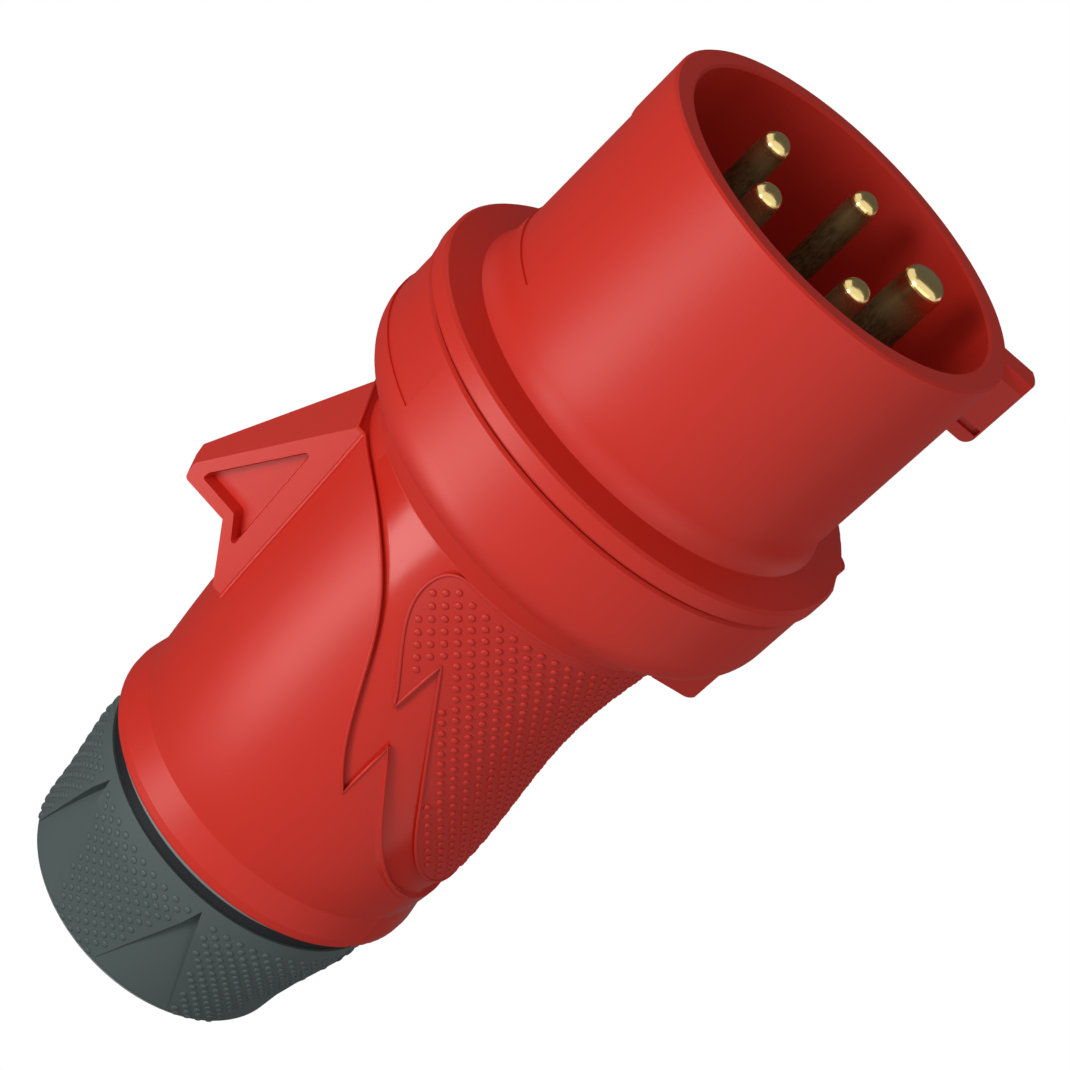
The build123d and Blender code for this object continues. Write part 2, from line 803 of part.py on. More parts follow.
def make_housing():
    body = body_loft(0) + at_sleeve() * make_collar()
    body += make_fin()
    body += make_heel_ring()
    body += ring(thread_radius, 0, neck_bottom_z, housing_rear_z + 1.0)
    grown = body_loft(grip_margin) - body_loft(-band_depth)
    body -= grown & side_region(shell_line()) & below_seam()
    body -= (body_loft(grip_margin) - body_loft(-pad_depth)) & side_region(pad_line())
    body -= housing_chamber()
    body -= at_sleeve() * collar_panel()
    return body - at_sleeve() * slide_room()


def below_seam():
    """Everything lower than the collar's rear end."""
    return ring(3 * collar_radius, 0, 0, collar_rear_z)


def make_grip_pad():
    """Soft pad that wraps round the key's side of the grip, seated in its own recess."""
    body = body_loft(-pad_drop) - body_loft(-pad_depth)
    return body & side_region(pad_line())


# Cable gland

def make_seal_ring():
    """Rubber ring between nut and housing, rounded towards the housing."""
    low = nut_length + seal_ring_gap
    body = ring(seal_ring_radius, thread_radius + thread_clearance, low, housing_rear_z)
    outer_edge = body.edges().filter_by(GeomType.CIRCLE).group_by(Axis.Z)[-1].sort_by(SortBy.LENGTH)[-1]
    return fillet(outer_edge, seal_ring_round)


def make_bush():
    """Rubber bush that seals on the cable."""
    outer = neck_bore_radius - bush_clearance
    body = ring(outer, bush_bore_radius, bush_low_z, neck_web_z)
    return chamfer(body.edges().filter_by(GeomType.CIRCLE).sort_by(Axis.Z)[:2], bush_chamfer)


def make_collet():
    """Split collet that grips the cable when the nut is turned home."""
    body = ring(neck_bore_radius - bush_clearance, cable_radius, collet_low_z, bush_low_z)
    for i in range(collet_slot_count):
        slot = Pos(0, 0, collet_low_z) * Box(
            neck_bore_radius, collet_slot_width, 2 * collet_slot_depth,
            align=(Align.MIN, Align.CENTER, Align.CENTER),
        )
        body -= Rot(0, 0, 360.0 / collet_slot_count * i) * slot
    return body


def make_thrust_ring():
    """Ring between the nut's floor and the collet, with a nose that enters the neck."""
    step_z = thrust_low_z + thrust_flange_height
    flange = ring(thread_radius + thread_clearance - thrust_clearance, cable_radius, thrust_low_z, step_z)
    return flange + ring(neck_bore_radius - thrust_clearance, cable_radius, step_z, thrust_top_z)


def nut_profile(outer):
    """Half section of the nut with its thread bore and cable hole."""
    return [
        (cable_radius, 0),
        (nut_end_radius, 0),
        *outer,
        (thread_radius + thread_clearance, nut_length),
        (thread_radius + thread_clearance, nut_floor),
        (cable_radius, nut_floor),
    ]


def nut_wedge(side):
    """Outline of one smooth facet on the nut, from its tip near the mouth to the nut's end."""
    low_angle = nut_field_half_angle
    high_angle = 180.0 / nut_facet_count - nut_wedge_half_angle
    middle = (low_angle + high_angle) / 2
    points = []
    for angle, z in ((nut_tip_half_angle, nut_tip_z), (low_angle, -1.0), (high_angle, -1.0)):
        points.append((nut_waist_radius * sin(radians(angle - middle)), z))
    outline = Polyline(*[(0, side * y, z) for y, z in points], close=True)
    prism = extrude(make_face(outline), 2 * nut_mouth_radius, dir=(1, 0, 0))
    return Rot(0, 0, side * middle) * prism


def make_nut():
    """Gland nut: three plain fields and three wedge fields, parted by smooth sunk facets."""
    outer = [
        (nut_waist_radius, nut_waist_z),
        (nut_shoulder_radius, nut_shoulder_z),
        (nut_mouth_radius, nut_length),
    ]
    body = turned(nut_profile(outer))
    end_edges = body.edges().group_by(Axis.Z)[0]
    body = fillet(end_edges.sort_by(SortBy.LENGTH)[-1], nut_end_fillet)
    floor = turned([
        (nut_end_radius, 0),
        (nut_shoulder_radius - nut_tip_depth, nut_tip_z),
        (nut_shoulder_radius - nut_tip_depth, nut_length),
        (2 * nut_mouth_radius, nut_length),
        (2 * nut_mouth_radius, 0),
    ])
    for i in range(nut_facet_count):
        centre = nut_phase + 360.0 / nut_facet_count * i
        for side in (-1, 1):
            body -= floor & (Rot(0, 0, centre) * nut_wedge(side))
    return body


parts = {}
parts["sleeve_shroud"] = make_sleeve()
parts["contact_carrier"] = make_carrier()
for i, name in enumerate(("pin_earth", "pin_l1", "pin_l2", "pin_l3", "pin_neutral")):
    parts[name] = make_contact(i)
parts["terminal_screws"] = Compound(make_terminal_screws())
parts["carrier_screws"] = Compound(make_carrier_screws())
parts["terminal_guard"] = make_terminal_guard()
parts["guard_screw"] = make_guard_screw()
parts["front_seal"] = make_front_seal()
parts["handle_housing"] = make_housing()
parts["grip_pad"] = make_grip_pad()
parts["lock_slide"] = make_lock_slide()
parts["gland_seal_ring"] = make_seal_ring()
parts["gland_bush"] = make_bush()
parts["clamp_collet"] = make_collet()
parts["thrust_ring"] = make_thrust_ring()
parts["gland_nut"] = make_nut()

os.makedirs("parts", exist_ok=True)
for name, shape in parts.items():
    export_step(shape, f"parts/{name}.step")
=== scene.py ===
# Industrial pin and sleeve plug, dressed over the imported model.
# The plug stands on its gland nut. The camera looks down at it and is rolled, so that it lies across the frame.
import math

import bpy
from mathutils import Matrix, Vector
from mathutils.bvhtree import BVHTree
from mathutils.geometry import intersect_point_line


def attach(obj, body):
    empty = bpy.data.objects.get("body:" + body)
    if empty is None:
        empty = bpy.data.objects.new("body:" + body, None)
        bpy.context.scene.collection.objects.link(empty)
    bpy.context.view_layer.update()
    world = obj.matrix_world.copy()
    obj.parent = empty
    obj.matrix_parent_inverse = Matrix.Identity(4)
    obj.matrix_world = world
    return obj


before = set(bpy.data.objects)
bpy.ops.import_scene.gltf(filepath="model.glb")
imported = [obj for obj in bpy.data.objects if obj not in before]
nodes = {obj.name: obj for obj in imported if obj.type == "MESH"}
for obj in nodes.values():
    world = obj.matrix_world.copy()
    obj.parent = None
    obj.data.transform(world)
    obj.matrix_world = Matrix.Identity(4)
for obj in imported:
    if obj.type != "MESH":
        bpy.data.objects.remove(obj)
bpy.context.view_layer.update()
mm = 0.001
sleeveAxis = -3.3  # mm, where the axis of sleeve and grip crosses X; the gland's is at 0
bpy.ops.object.select_all(action="DESELECT")


# Small helpers
def hexToLinear(text):
    # sRGB hex to the linear values that a socket takes
    out = []
    for k in (1, 3, 5):
        v = int(text[k:k + 2], 16) / 255
        out.append(v / 12.92 if v <= 0.04045 else ((v + 0.055) / 1.055) ** 2.4)
    return (*out, 1.0)


def addNode(tree, kind, sockets=None, **settings):
    # one node with its settings; a socket given as a value is linked, anything else is typed in
    node = tree.nodes.new(kind)
    for key, value in settings.items():
        setattr(node, key, value)
    for key, value in (sockets or {}).items():
        if isinstance(value, bpy.types.NodeSocket):
            tree.links.new(value, node.inputs[key])
        else:
            node.inputs[key].default_value = value
    return node


def newTree(name):
    material = bpy.data.materials.new(name)
    material.use_nodes = True
    material.node_tree.nodes.clear()
    return material, material.node_tree


def paint(material, names):
    for name in names:
        slots = nodes[name].data.materials
        if not slots:
            slots.append(material)
        for k in range(len(slots)):
            slots[k] = material


# Camera: stands in front and above, rolled until the sleeve points to the upper right
cameraView = {
    "place": (-112.98, -391.69, 315.74),  # mm
    "forward": (0.24369, 0.84986, -0.46729),
    "up": (-0.61006, 0.50887, 0.60735),
    "lens": 101.37,  # mm, on a 36 mm wide sensor
}


def addCamera(look):
    forward = Vector(look["forward"]).normalized()
    right = forward.cross(Vector(look["up"])).normalized()
    up = right.cross(forward)
    data = bpy.data.cameras.new("camera")
    data.lens = look["lens"]
    data.sensor_width = 36.0
    data.clip_start = 0.01
    data.clip_end = 50.0
    camera = bpy.data.objects.new("camera", data)
    turn = Matrix((right, up, -forward)).transposed().to_4x4()
    camera.matrix_world = Matrix.Translation(Vector(look["place"]) * mm) @ turn
    bpy.context.scene.collection.objects.link(camera)
    bpy.context.scene.camera = camera


addCamera(cameraView)
print("camera set")

# Studio: a low softbox to the left of the camera, a faint one to the right, soft fill from all round,
# and panels that only show as reflections on the plug
studio = {
    "lamps": {  # direction round the plug and above the floor in degrees, distance and sizes in mm, watts
        "keySoftbox": (-140.0, 5.0, 700.0, 200.0, 420.0, 2.9),
        "sideSoftbox": (-62.0, 6.0, 800.0, 160.0, 420.0, 0.35),
    },
    "aim": (0.0, 0.0, 100.0),  # mm
    "strip": {  # direction from the plug in degrees, distances, widths and height in mm, and level of light
        "azimuth": -144.0, "near": 100.0, "far": 350.0, "nearWidth": 36.0, "farWidth": 190.0, "height": 3.0,
        "level": 9.0,
    },
    "panels": {  # middle in mm, turn in degrees, width and depth in mm, and level of light
        "cardAbove": ((850.0, 800.0, 450.0), (0.0, 0.0, 0.0), 2300.0, 1800.0, 0.12),
        "cardBehind": ((100.0, 540.0, 2.0), (0.0, 0.0, 0.0), 1600.0, 1200.0, 0.10),
        "cardAway": ((400.0, 1400.0, 450.0), (90.0, 0.0, 0.0), 3000.0, 1300.0, 0.08),
        "glowInFront": ((104.0, -590.0, 214.0), (90.0, 0.0, 10.0), 900.0, 440.0, 1.7),
    },
    "fill": 0.40,  # level of the light from all round
    "floor": 6.0,  # m, edge length
    "floorTone": 0.80,  # share of the light that the paper returns
    "floorLift": 0.70,  # light of its own for the camera and for reflections, so that it reads as white
}


def addLamps(look):
    aim = Vector(look["aim"]) * mm
    for name, (azimuth, rise, distance, width, height, watts) in look["lamps"].items():
        a, e = math.radians(azimuth), math.radians(rise)
        away = Vector((math.cos(a) * math.cos(e), math.sin(a) * math.cos(e), math.sin(e)))
        data = bpy.data.lights.new(name, "AREA")
        data.shape = "RECTANGLE"
        data.size, data.size_y = width * mm, height * mm
        data.energy = watts
        lamp = bpy.data.objects.new(name, data)
        turn = away.to_track_quat("Z", "Y").to_matrix().to_4x4()
        lamp.matrix_world = Matrix.Translation(aim + away * distance * mm) @ turn
        bpy.context.scene.collection.objects.link(lamp)


def addPanel(name, middle, turn, wide, deep, level):
    # a flat panel that only shows as a reflection on the plug
    bpy.ops.mesh.primitive_plane_add(size=1.0)
    panel = bpy.context.active_object
    panel.name = name
    panel.scale = (wide * mm, deep * mm, 1.0)
    panel.rotation_euler = [math.radians(t) for t in turn]
    panel.location = Vector(middle) * mm
    bpy.ops.object.transform_apply(location=True, rotation=True, scale=True)
    # opal acrylic lit from behind: an even patch of light with clean edges
    material, tree = newTree("whiteAcrylicBacklit")
    face = addNode(tree, "ShaderNodeEmission", {"Strength": level})
    addNode(tree, "ShaderNodeOutputMaterial", {"Surface": face.outputs[0]})
    panel.data.materials.append(material)
    panel.visible_camera = False
    panel.visible_diffuse = False
    panel.visible_transmission = False
    panel.visible_shadow = False
    panel.select_set(False)
    return panel


def addStrip(look):
    # flat on the floor and narrower towards the plug: gives the long soft highlight down the left flank
    length = look["far"] - look["near"]
    middle = ((look["far"] + look["near"]) / 2, 0.0, look["height"])
    strip = addPanel("floorStrip", middle, (0.0, 0.0, 0.0), length, look["farWidth"], look["level"])
    strip.select_set(True)
    bpy.context.view_layer.objects.active = strip
    bpy.ops.object.mode_set(mode="EDIT")
    bpy.ops.mesh.select_all(action="DESELECT")
    bpy.ops.object.mode_set(mode="OBJECT")
    for point in strip.data.vertices:
        point.select = point.co.x < middle[0] * mm
    bpy.ops.object.mode_set(mode="EDIT")
    bpy.ops.transform.resize(value=(1.0, look["nearWidth"] / look["farWidth"], 1.0))
    bpy.ops.object.mode_set(mode="OBJECT")
    strip.rotation_euler.z = math.radians(look["azimuth"])
    bpy.ops.object.transform_apply(location=False, rotation=True, scale=False)
    strip.select_set(False)


def seenOrMirrored(tree):
    # 1 for rays from the camera, also where gloss or glass sends them on, and 0 for the rest
    path = addNode(tree, "ShaderNodeLightPath").outputs
    mirrored = addNode(tree, "ShaderNodeMath", {
        0: path["Is Glossy Ray"], 1: path["Is Transmission Ray"],
    }, operation="MAXIMUM")
    both = addNode(tree, "ShaderNodeMath", {0: path["Is Camera Ray"], 1: mirrored.outputs[0]}, operation="MAXIMUM")
    return both.outputs[0]


def addWorld(look):
    world = bpy.data.worlds.new("studioAir")
    bpy.context.scene.world = world
    world.use_nodes = True
    tree = world.node_tree
    tree.nodes.clear()
    fill = addNode(tree, "ShaderNodeBackground", {"Color": (1, 1, 1, 1), "Strength": look["fill"]})
    white = addNode(tree, "ShaderNodeBackground", {"Color": (1, 1, 1, 1), "Strength": 1.0})
    both = addNode(tree, "ShaderNodeMixShader", {0: seenOrMirrored(tree), 1: fill.outputs[0], 2: white.outputs[0]})
    addNode(tree, "ShaderNodeOutputWorld", {"Surface": both.outputs[0]})


def addFloor(look):
    bpy.ops.mesh.primitive_plane_add(size=look["floor"])
    floor = bpy.context.active_object
    floor.name = "floor"
    # uncoated paper: a plain white that only shows the plug's shadow
    material, tree = newTree("whitePaperSweep")
    tone = look["floorTone"]
    paper = addNode(tree, "ShaderNodeBsdfDiffuse", {"Color": (tone, tone, tone, 1)})
    lift = addNode(tree, "ShaderNodeEmission", {"Color": (1, 1, 1, 1), "Strength": look["floorLift"]})
    clear = addNode(tree, "ShaderNodeEmission", {"Strength": 0.0})
    seen = addNode(tree, "ShaderNodeMixShader", {0: seenOrMirrored(tree), 1: clear.outputs[0], 2: lift.outputs[0]})
    both = addNode(tree, "ShaderNodeAddShader", {0: paper.outputs[0], 1: seen.outputs[0]})
    addNode(tree, "ShaderNodeOutputMaterial", {"Surface": both.outputs[0]})
    floor.data.materials.append(material)


addLamps(studio)
addStrip(studio["strip"])
for name, values in studio["panels"].items():
    addPanel(name, *values)
addWorld(studio)
addFloor(studio)
bpy.context.scene.view_settings.view_transform = "Standard"
print("studio set")

# Red housing and sleeve: injection-moulded polyamide from spark-eroded tools, so the gloss is soft and slightly grainy
redMoulding = {
    "colour": "#CE2D1F",
    "flowColour": "#C9291C",
    "flowSize": 30.0,  # mm, slow change of tone where the melt flowed
    "grainSize": 0.5,  # mm; the real grain is about 0.1 and is drawn coarser, or it wouldn't show
    "grainDepth": 0.008,  # mm
    "roughness": 0.44,
    "gloss": 0.2,  # specular level
}
polishedBand = {  # the band beside the grip pad comes from a polished part of the mould
    "roughness": 0.2,
    "low": 44.0, "high": 101.0,  # mm
    "reach": 27.5,  # mm from the axis to either end of the edge's curve
    "top": 103.6,  # mm, where the collar begins
    "line": (  # the band's edge in the side view: height, and distance from the sleeve's axis, in mm
        (44.0, 26.0), (45.1, 25.2), (52.4, 15.9), (61.6, 9.2), (61.8, 2.5), (69.0, -1.5),
        (78.2, -6.6), (91.8, -13.8), (96.3, -18.2), (98.6, -21.4), (99.6, -23.8), (101.0, -26.0),
    ),
}


def addPolish(tree, coords, look, rest):
    # roughness that drops to the polished value on the key's side of the band's edge
    parts = addNode(tree, "ShaderNodeSeparateXYZ", {0: coords}).outputs
    reach = look["reach"]
    share = addNode(tree, "ShaderNodeMapRange", {
        "Value": parts["Z"], "From Min": look["low"] * mm, "From Max": look["high"] * mm,
    })
    edge = addNode(tree, "ShaderNodeFloatCurve", {"Value": share.outputs[0]})
    curve = edge.mapping.curves[0]
    for height, across in look["line"]:
        place = ((height - look["low"]) / (look["high"] - look["low"]), 0.5 + across / (2 * reach))
        if place[0] <= 0 or place[0] >= 1:
            curve.points[0 if place[0] <= 0 else -1].location = place
        else:
            curve.points.new(*place)
    for point in curve.points:
        point.handle_type = "VECTOR"
    edge.mapping.update()
    across = addNode(tree, "ShaderNodeMapRange", {
        "Value": parts["X"], "From Min": (sleeveAxis - reach) * mm, "From Max": (sleeveAxis + reach) * mm,
    })
    beyond = addNode(tree, "ShaderNodeMath", {0: across.outputs[0], 1: edge.outputs[0]}, operation="GREATER_THAN")
    under = addNode(tree, "ShaderNodeMath", {0: parts["Z"], 1: look["top"] * mm}, operation="LESS_THAN")
    both = addNode(tree, "ShaderNodeMath", {0: beyond.outputs[0], 1: under.outputs[0]}, operation="MULTIPLY")
    return addNode(tree, "ShaderNodeMapRange", {
        "Value": both.outputs[0], "To Min": rest, "To Max": look["roughness"],
    }).outputs[0]


def addNoise(tree, coords, size, detail, roughness=0.5):
    return addNode(tree, "ShaderNodeTexNoise", {
        "Vector": coords, "Scale": 1 / (size * mm), "Detail": detail, "Roughness": roughness,
    })


def makeMoulding(name, look):
    material, tree = newTree(name)
    coords = addNode(tree, "ShaderNodeTexCoord").outputs["Object"]
    flow = addNoise(tree, coords, look["flowSize"], 2.0)
    tone = addNode(tree, "ShaderNodeMixRGB", {
        "Fac": flow.outputs["Fac"], "Color1": hexToLinear(look["colour"]), "Color2": hexToLinear(look["flowColour"]),
    })
    grain = addNoise(tree, coords, look["grainSize"], 3.0)
    bump = addNode(tree, "ShaderNodeBump", {
        "Height": grain.outputs["Fac"], "Strength": 1.0, "Distance": look["grainDepth"] * mm,
    })
    rough = look["roughness"]
    if "polish" in look:
        rough = addPolish(tree, coords, look["polish"], rough)
    shader = addNode(tree, "ShaderNodeBsdfPrincipled", {
        "Base Color": tone.outputs[0], "Normal": bump.outputs["Normal"],
        "Roughness": rough, "IOR": 1.53, "Specular IOR Level": look["gloss"],
    })
    addNode(tree, "ShaderNodeOutputMaterial", {"Surface": shader.outputs[0]})
    return material


redPlastic = makeMoulding("redPolyamideMoulded", redMoulding)
paint(redPlastic, ["sleeve_shroud", "lock_slide"])
paint(makeMoulding("redPolyamidePolishedBand", dict(redMoulding, polish=polishedBand)), ["handle_housing"])

# Grip pad: soft elastomer moulded over the housing, a shade duller than the shell
redPad = dict(redMoulding, colour="#C42A1F", flowColour="#BE271C", roughness=0.5, grainSize=0.4)
padRubber = makeMoulding("redElastomerOvermoulded", redPad)
paint(padRubber, ["grip_pad"])

# Contact carrier: the same red, matt and deeper in tone
redCarrier = dict(redMoulding, colour="#B02A20", flowColour="#A8271E", roughness=0.55)
paint(makeMoulding("redPolyesterMoulded", redCarrier), ["contact_carrier"])

# Gland nut: moulded grey polyamide, an even slate grey with a faint sheen
greyNut = dict(redMoulding, colour="#545F5D", flowColour="#4F5B58", roughness=0.46, grainSize=0.4, gloss=0.2)
nutPlastic = makeMoulding("greyPolyamideMoulded", greyNut)
paint(nutPlastic, ["gland_nut"])

# Inner gland pieces: undyed polyamide looks like bone, the dyed one of the wire guide nearly black
glandInner = dict(greyNut, colour="#C9C7BE", flowColour="#C2C0B6")
paint(makeMoulding("naturalPolyamideMoulded", glandInner), ["clamp_collet", "thrust_ring"])
guardLook = dict(greyNut, colour="#3C3E40", flowColour="#383A3C")
paint(makeMoulding("darkPolyamideMoulded", guardLook), ["terminal_guard"])

# Seals and bush: nitrile rubber, black with a soft shine where the light grazes it
sealLook = dict(greyNut, colour="#1F2022", flowColour="#1D1E20", roughness=0.45, grainSize=0.8)
paint(makeMoulding("blackNitrileRubber", sealLook), ["gland_seal_ring", "gland_bush", "front_seal"])

# Contacts: turned brass rod, polished on the dome; down the shaft a painted shade, in streaks, darkens the colour and
# takes away metal and gloss, standing in for the dark reflection of the sleeve's inside
brassPins = {
    "colour": "#EAD08C",
    # painted shade: the dark brown that the shaft turns to down in the sleeve
    "paintedShadeColour": "#4A300F",
    "roughness": 0.2,
    "shaftRoughness": 0.62,
    "shadedMetal": 0.4,  # less metal down the shaft, part of the painted shade
    "unshadedAbove": 170.2, "shadedBelow": 164.5,  # mm, heights between which the painted shade sets in
    "darkensAs": 0.4,  # power on the painted shade's mask: it colours the metal before it takes away the shine
    "turningPitch": 0.35,  # mm between tool marks; the real ones are near 0.1
    "turningDepth": 0.004,  # mm
    "streakSize": 0.6, "streakStretch": 0.4,  # mm, and the pattern's scale along the pin, where it is drawn out
    "streakLow": 0.3, "streakHigh": 0.62,  # values of the pattern where the painted shade is lightest and darkest
    "leastShade": 0.5,  # share of the painted shade that stays where the streaks are lightest
}


def makeBrass(look):
    material, tree = newTree("brassTurnedPolished")
    coords = addNode(tree, "ShaderNodeTexCoord").outputs["Object"]
    lathe = addNode(tree, "ShaderNodeTexWave", {  # a band texture at scale 1 repeats every pi / 10
        "Vector": coords, "Scale": math.pi / 10 / (look["turningPitch"] * mm), "Distortion": 0.0,
    }, wave_type="BANDS", bands_direction="Z")
    stretched = addNode(tree, "ShaderNodeMapping", {"Vector": coords, "Scale": (1.0, 1.0, look["streakStretch"])})
    streak = addNoise(tree, stretched.outputs[0], look["streakSize"], 4.0, 0.65)
    height = addNode(tree, "ShaderNodeSeparateXYZ", {0: coords})
    # painted shade sets in down the shaft, below the dome
    shaft = addNode(tree, "ShaderNodeMapRange", {
        "Value": height.outputs["Z"], "From Min": look["unshadedAbove"] * mm, "From Max": look["shadedBelow"] * mm,
    })
    patchy = addNode(tree, "ShaderNodeMapRange", {
        "Value": streak.outputs["Fac"], "From Min": look["streakLow"], "From Max": look["streakHigh"],
        "To Min": look["leastShade"],
    })
    # painted shade mask: darker, less metallic and rougher down the shaft, in streaks
    shaftShade = addNode(tree, "ShaderNodeMath", {0: patchy.outputs[0], 1: shaft.outputs[0]}, operation="MULTIPLY")
    tint = addNode(tree, "ShaderNodeMath", {0: shaftShade.outputs[0], 1: look["darkensAs"]}, operation="POWER")
    # painted shade: the colour goes over to dark brown down the shaft
    tone = addNode(tree, "ShaderNodeMixRGB", {
        "Fac": tint.outputs[0], "Color1": hexToLinear(look["colour"]), "Color2": hexToLinear(look["paintedShadeColour"]),
    })
    metal = addNode(tree, "ShaderNodeMapRange", {"Value": shaftShade.outputs[0], "To Min": 1.0, "To Max": look["shadedMetal"]})
    rough = addNode(tree, "ShaderNodeMapRange", {
        "Value": shaftShade.outputs[0], "To Min": look["roughness"], "To Max": look["shaftRoughness"],
    })
    bump = addNode(tree, "ShaderNodeBump", {
        "Height": lathe.outputs["Fac"], "Strength": 1.0, "Distance": look["turningDepth"] * mm,
    })
    shader = addNode(tree, "ShaderNodeBsdfPrincipled", {
        "Base Color": tone.outputs[0], "Metallic": metal.outputs[0], "Roughness": rough.outputs[0],
        "Normal": bump.outputs["Normal"],
    })
    addNode(tree, "ShaderNodeOutputMaterial", {"Surface": shader.outputs[0]})
    return material


pinNames = ["pin_earth", "pin_l1", "pin_l2", "pin_l3", "pin_neutral"]
paint(makeBrass(brassPins), pinNames)

# Screws: steel with a bright zinc plating, faintly cloudy
zincScrews = {"colour": "#C9CCD0", "cloudColour": "#A9ADB3", "roughness": 0.3, "cloudSize": 1.5}


def makeZinc(look):
    material, tree = newTree("steelZincPlated")
    coords = addNode(tree, "ShaderNodeTexCoord").outputs["Object"]
    cloud = addNoise(tree, coords, look["cloudSize"], 3.0)
    tone = addNode(tree, "ShaderNodeMixRGB", {
        "Fac": cloud.outputs["Fac"], "Color1": hexToLinear(look["colour"]), "Color2": hexToLinear(look["cloudColour"]),
    })
    shader = addNode(tree, "ShaderNodeBsdfPrincipled", {
        "Base Color": tone.outputs[0], "Metallic": 1.0, "Roughness": look["roughness"],
    })
    addNode(tree, "ShaderNodeOutputMaterial", {"Surface": shader.outputs[0]})
    return material


paint(makeZinc(zincScrews), ["terminal_screws", "carrier_screws", "guard_screw"])
print("model painted")

# Raised dots: one dome, copied to rows on the grip pad and to the plain fields of the nut
gripDots = {
    "width": 1.3, "height": 0.34, "sunk": 0.2,  # mm, and the share of the height that lies under the surface
    "pitch": 2.65, "rowPitch": 1.65,  # mm round the grip and along it; each row is moved on by half a pitch
    "margin": 1.15,  # mm kept free beside the pad's edge
    "probes": 8, "level": 1.4,  # places tried round a dot, and how far off they may lie, in margins
    "outwards": 0.8,  # how squarely the surface faces away from the axis, 1 at most
    "low": 40.0, "high": 102.5, "axis": sleeveAxis, "reach": 29.9,  # mm
}
nutDots = dict(
    gripDots, height=0.26, pitch=2.5, rowPitch=1.3, margin=0.55, low=2.6, high=25.4, axis=0.0, reach=27.3,
    facets=3, phase=-120.0,  # facet pairs round the nut, and where the first pair is centred
    tip=(26.7, 26.3), foot=-1.0,  # degrees and mm: a facet's tip, and the height of its two low corners
    fieldEnd=12.5, wedgeEnd=51.0, span=60.0,  # degrees: the low corners, and what a facet can't reach beyond
    waist=26.3, facetGap=0.35,  # mm, the nut's radius there, and what is kept free beside a facet
)


def makeDome(name, look):
    bpy.ops.mesh.primitive_uv_sphere_add(segments=10, ring_count=6, radius=1.0)
    dome = bpy.context.active_object
    dome.name = name
    bpy.ops.object.mode_set(mode="EDIT")
    bpy.ops.mesh.select_all(action="SELECT")
    bpy.ops.mesh.bisect(plane_co=(0, 0, -look["sunk"]), plane_no=(0, 0, 1), clear_inner=True)
    bpy.ops.object.mode_set(mode="OBJECT")
    dome.scale = (look["width"] / 2 * mm, look["width"] / 2 * mm, look["height"] * mm)
    bpy.ops.object.transform_apply(location=False, rotation=False, scale=True)
    bpy.ops.object.shade_smooth()
    dome.select_set(False)
    return dome


def surfaceAt(tree, look, angle, height):
    # where a line from well outside towards the axis first meets the surface, if it faces outwards there
    a = math.radians(angle)
    outwards = Vector((math.cos(a), math.sin(a), 0))
    start = Vector((look["axis"] * mm, 0, height * mm)) + outwards * 2 * look["reach"] * mm
    place, normal, _, _ = tree.ray_cast(start, -outwards, look["reach"] * 1.3 * mm)
    if place is None or normal.dot(outwards) < look["outwards"]:
        return None
    return place, normal


def onFacet(look, angle, height):
    # inside one of the smooth triangles, or within the margin of one
    for k in range(look["facets"]):
        for side in (-1, 1):
            centre = look["phase"] + 360 / look["facets"] * k
            middle = (look["fieldEnd"] + look["wedgeEnd"]) / 2
            turn = side * (angle - centre)
            turn = (turn + 180) % 360 - 180
            across = look["waist"] * math.sin(math.radians(turn - middle))
            if abs(turn - middle) > look["span"]:
                continue
            tipAngle, tipHeight = look["tip"]
            share = (tipHeight + look["facetGap"] - height) / (tipHeight - look["foot"])
            if share < 0:
                continue
            tip = look["waist"] * math.sin(math.radians(tipAngle - middle))
            left = look["waist"] * math.sin(math.radians(look["fieldEnd"] - middle))
            right = look["waist"] * math.sin(math.radians(look["wedgeEnd"] - middle))
            gap = look["facetGap"] + look["width"] / 2
            if tip + (left - tip) * share - gap < across < tip + (right - tip) * share + gap:
                return True
    return False


def dotPlaces(node, look):
    tree = BVHTree.FromObject(nodes[node], bpy.context.evaluated_depsgraph_get())
    places = []
    count = round(2 * math.pi * look["reach"] / look["pitch"])
    step = 360 / count
    arc = math.degrees(look["margin"] / look["reach"])
    rows = int((look["high"] - look["low"]) / look["rowPitch"]) + 1
    for row in range(rows):
        height = look["low"] + row * look["rowPitch"]
        for k in range(count):
            angle = (k + 0.5 * (row % 2)) * step
            hit = surfaceAt(tree, look, angle, height)
            if hit is None or ("facets" in look and onFacet(look, angle, height)):
                continue
            clear = True
            for t in range(look["probes"]):
                way = t * 2 * math.pi / look["probes"]
                near = surfaceAt(tree, look, angle + math.cos(way) * arc, height + math.sin(way) * look["margin"])
                if near is None or (near[0] - hit[0]).length > look["level"] * look["margin"] * mm:
                    clear = False
            if clear:
                places.append(hit)
    return places


def scatterDots(name, dome, places, material, body):
    bpy.ops.object.select_all(action="DESELECT")
    for place, normal in places:
        copy = dome.copy()
        copy.data = dome.data.copy()
        copy.matrix_world = Matrix.Translation(place) @ normal.to_track_quat("Z", "Y").to_matrix().to_4x4()
        bpy.context.scene.collection.objects.link(copy)
        copy.select_set(True)
    bpy.context.view_layer.objects.active = copy
    bpy.ops.object.join()
    dots = bpy.context.active_object
    bpy.ops.object.transform_apply(location=True, rotation=True, scale=True)
    dots.name = name
    dots.data.materials.append(material)
    dots.select_set(False)
    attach(dots, body)
    bpy.data.objects.remove(dome)
    print(name, len(places))


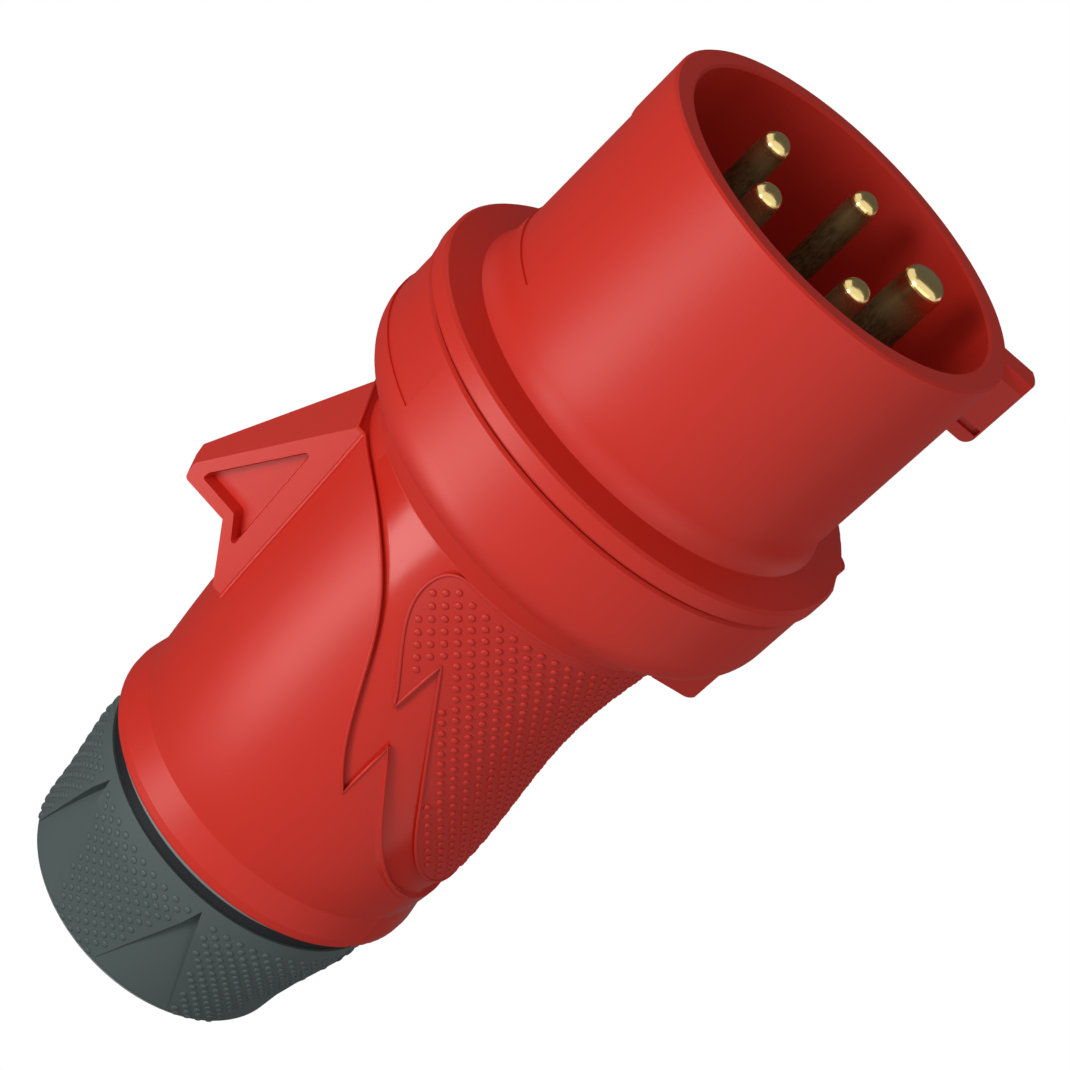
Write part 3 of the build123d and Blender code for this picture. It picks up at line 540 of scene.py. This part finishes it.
# Fine beads where the mould leaves an edge rounded: round the grip pad, along the shell's lip and at the fin's foot.
# The lip follows the polished band's edge, with the zigzag's inner point added and the end carried on to the fin.
padBead = {"radius": 0.3, "corners": 2, "outwards": 0.6}  # mm, and how squarely the outer face looks outwards
lipBead = {
    "radius": 0.3, "corners": 2,
    "bend": 25.0, "raised": True,  # degrees between the faces, and whether their corner stands out
    "beside": 3.0,  # mm from the grip's middle plane
    "line": polishedBand["line"][1:4] + ((72.6, 2.3),) + polishedBand["line"][4:-2]
    + ((99.2, -24.8), (99.9, -29.0), (99.9, -31.5)), "within": 1.3,  # mm, in the side view
}
finBead = {
    "radius": 0.5, "corners": 2,
    "bend": 15.0, "raised": False,
    "beside": 3.0,
    "line": ((62.3, -28.1), (97.0, -28.0)), "within": 1.6,
}


def pickPadEdge(line, look):
    # the outer face's border
    for face in line.data.polygons:
        outwards = (face.center - Vector((sleeveAxis * mm, 0, face.center.z))).normalized()
        face.select = face.normal.dot(outwards) > look["outwards"]
    bpy.ops.object.mode_set(mode="EDIT")
    bpy.ops.mesh.select_mode(type="FACE")
    bpy.ops.mesh.select_all(action="INVERT")
    bpy.ops.mesh.delete(type="FACE")
    bpy.ops.mesh.select_all(action="SELECT")
    bpy.ops.mesh.region_to_loop()
    bpy.ops.object.mode_set(mode="OBJECT")


def besideLine(place, look):
    # whether a place lies near a line that is drawn in the side view
    seen = Vector((place.x / mm - sleeveAxis, 0, place.z / mm))
    corners = [Vector((across, 0, height)) for height, across in look["line"]]
    for start, end in zip(corners, corners[1:]):
        nearest, share = intersect_point_line(seen, start, end)
        if 0 <= share <= 1 and (nearest - seen).length < look["within"]:
            return True
    return any((corner - seen).length < look["within"] for corner in corners[1:-1])


def pickCorner(line, look):
    # corners between two faces that bend enough, the right way, beside the line
    beside = {}
    for face in line.data.polygons:
        for key in face.edge_keys:
            beside.setdefault(key, []).append(face)
    points = line.data.vertices
    for edge in line.data.edges:
        faces = beside[edge.key]
        middle = (points[edge.vertices[0]].co + points[edge.vertices[1]].co) / 2
        edge.select = (
            len(faces) == 2
            and faces[0].normal.angle(faces[1].normal, 0) > math.radians(look["bend"])
            and ((faces[1].center - faces[0].center).dot(faces[0].normal) < 0) == look["raised"]
            and abs(middle.y) > look["beside"] * mm
            and besideLine(middle, look)
        )


def makeBead(name, node, look, pick, material):
    line = nodes[node].copy()
    line.data = nodes[node].data.copy()
    bpy.context.scene.collection.objects.link(line)
    line.name = name
    line.select_set(True)
    bpy.context.view_layer.objects.active = line
    bpy.ops.object.mode_set(mode="EDIT")
    bpy.ops.mesh.select_all(action="SELECT")
    bpy.ops.mesh.remove_doubles(threshold=0.01 * mm)
    bpy.ops.mesh.select_mode(type="EDGE")
    bpy.ops.mesh.select_all(action="DESELECT")
    bpy.ops.object.mode_set(mode="OBJECT")
    pick(line, look)
    bpy.ops.object.mode_set(mode="EDIT")
    bpy.ops.mesh.select_mode(type="EDGE")
    bpy.ops.mesh.select_all(action="INVERT")
    bpy.ops.mesh.delete(type="EDGE")
    bpy.ops.object.mode_set(mode="OBJECT")
    bpy.ops.object.convert(target="CURVE")
    line.data.bevel_depth = look["radius"] * mm
    line.data.bevel_resolution = look["corners"]
    line.data.use_fill_caps = True
    bpy.ops.object.convert(target="MESH")
    bpy.ops.object.shade_smooth()
    line.data.materials.clear()
    line.data.materials.append(material)
    line.select_set(False)
    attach(line, "plug")
    print(name, len(line.data.polygons), "faces")


makeBead("padBead", "grip_pad", padBead, pickPadEdge, padRubber)
makeBead("lipBead", "handle_housing", lipBead, pickCorner, redPlastic)
makeBead("finBead", "handle_housing", finBead, pickCorner, redPlastic)

# Slip washer between seal and housing: its edge just shows on one side, because it sits a little off centre;
# smooth acetal in a lighter grey than the nut
slipWasher = {"middle": (-0.2, -0.25, 30.65), "radius": 27.6, "thickness": 0.9, "colour": "#7A8587"}  # mm


def makeWasher(look):
    bpy.ops.mesh.primitive_torus_add(
        location=Vector(look["middle"]) * mm, major_radius=look["radius"] * mm, minor_radius=look["thickness"] / 2 * mm,
        major_segments=160, minor_segments=12,
    )
    washer = bpy.context.active_object
    washer.name = "slipWasher"
    bpy.ops.object.transform_apply(location=True, rotation=False, scale=False)
    bpy.ops.object.shade_smooth()
    tone = dict(greyNut, colour=look["colour"], flowColour=look["colour"])
    washer.data.materials.append(makeMoulding("greyAcetalMoulded", tone))
    washer.select_set(False)
    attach(washer, "plug")


makeWasher(slipWasher)
print("beads and washer made")

scatterDots("gripDots", makeDome("gripDot", gripDots), dotPlaces("grip_pad", gripDots), padRubber, "plug")
scatterDots("nutDots", makeDome("nutDot", nutDots), dotPlaces("gland_nut", nutDots), nutPlastic, "nut")
